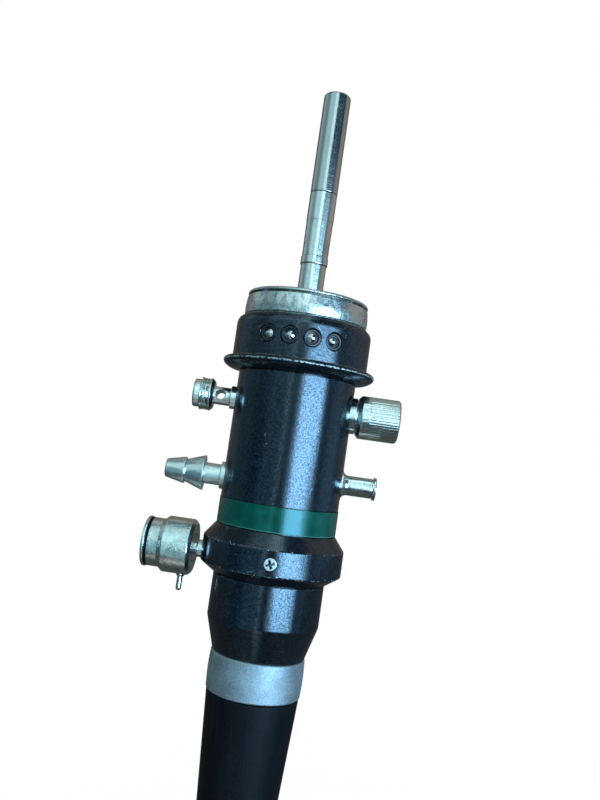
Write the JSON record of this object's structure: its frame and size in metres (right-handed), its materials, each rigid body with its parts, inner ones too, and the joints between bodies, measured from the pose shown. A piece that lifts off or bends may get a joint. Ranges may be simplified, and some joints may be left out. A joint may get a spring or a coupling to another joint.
{
  "type": "flexible endoscope light source plug",
  "caption": "Light source plug of a flexible endoscope: steel light guide prong, black contact ring and barrel, side connectors with a sprung vent valve, screw cap and rubber boot.",
  "frame": {"origin": "on the plug's axis in the plane of the mounting flange's front face", "axes": "+Z along the axis towards the light guide prong, -Y towards the contacts, -X towards the earth terminal, suction nipple and vent connector"},
  "size_m": [0.0702, 0.0454, 0.2609],
  "materials": {
    "polished_steel": "polished stainless steel",
    "nickel_plate": "bright nickel plate with fine wear",
    "black_coat": "satin black coat, edges chipped",
    "satin_silver": "grained satin silver",
    "green_enamel": "glossy green enamel",
    "black_rubber": "smooth black rubber",
    "black_plastic": "moulded insulating plastic",
    "clear_glass": "polished glass",
    "glass_fibre": "bundle of glass fibres in resin",
    "inner_aluminium": "machined aluminium",
    "spring_steel": "spring wire"
  },
  "bodies": {
    "plug": {"air_pipe": "nickel_plate", "air_tube": "nickel_plate", "air_tube_nut": "nickel_plate", "barrel": "black_coat", "boot": "black_rubber", "collar": "black_coat", "collar_screw_back": "nickel_plate", "collar_screw_front": "nickel_plate", "contact_carrier": "black_plastic", "contact_insulator_1": "black_plastic", "contact_insulator_2": "black_plastic", "contact_insulator_3": "black_plastic", "contact_insulator_4": "black_plastic", "contact_pin_1": "nickel_plate", "contact_pin_2": "nickel_plate", "contact_pin_3": "nickel_plate", "contact_pin_4": "nickel_plate", "contact_ring": "black_coat", "cord_clamp": "inner_aluminium", "frame_rod_1": "inner_aluminium", "frame_rod_2": "inner_aluminium", "frame_rod_3": "inner_aluminium", "front_o_ring": "black_rubber", "front_plate": "nickel_plate", "front_ring": "polished_steel", "green_band": "green_enamel", "housing_o_ring": "black_rubber", "key_pin": "nickel_plate", "light_guide_bundle": "glass_fibre", "light_guide_sleeve": "polished_steel", "light_guide_tube": "polished_steel", "light_guide_window": "clear_glass", "mounting_flange": "black_coat", "port_stub": "nickel_plate", "port_stub_nut": "nickel_plate", "prong_base": "polished_steel", "prong_nut": "nickel_plate", "rear_bulkhead": "inner_aluminium", "rear_housing": "black_coat", "ring_nut": "satin_silver", "suction_nipple": "nickel_plate", "suction_nipple_nut": "nickel_plate", "suction_pipe": "nickel_plate", "terminal_post": "nickel_plate", "terminal_post_nut": "nickel_plate", "vent_body": "nickel_plate", "vent_neck": "nickel_plate", "vent_o_ring": "black_rubber", "vent_rim": "nickel_plate", "vent_spring": "spring_steel"},
    "valve": {"vent_poppet": "nickel_plate", "vent_valve_seal": "black_rubber"},
    "gasket": {"cap_gasket": "black_rubber"},
    "cap": {"knurled_cap": "nickel_plate"}
  },
  "joints": [
    {"name": "vent_valve_push", "type": "slide", "parent": "plug", "child": "valve", "axis": [0.9976, -0.0698, 0], "range_m": [0, 0.0015], "stiffness_N_per_m": 400, "springref_m": -0.001, "deforming": ["vent_spring"]},
    {"name": "cap_travel", "type": "slide", "parent": "plug", "child": "gasket", "axis": [1, 0, 0], "range_m": [0, 0.0024]},
    {"name": "cap_turn", "type": "hinge", "parent": "gasket", "child": "cap", "pos_m": [0.0256, 0, -0.01265], "axis": [1, 0, 0], "range_deg": [0, 1080]}
  ],
  "couplings": [
    {"joint": "cap_travel", "follows": "cap_turn", "m_per_rad": 0.00012732}
  ]
}
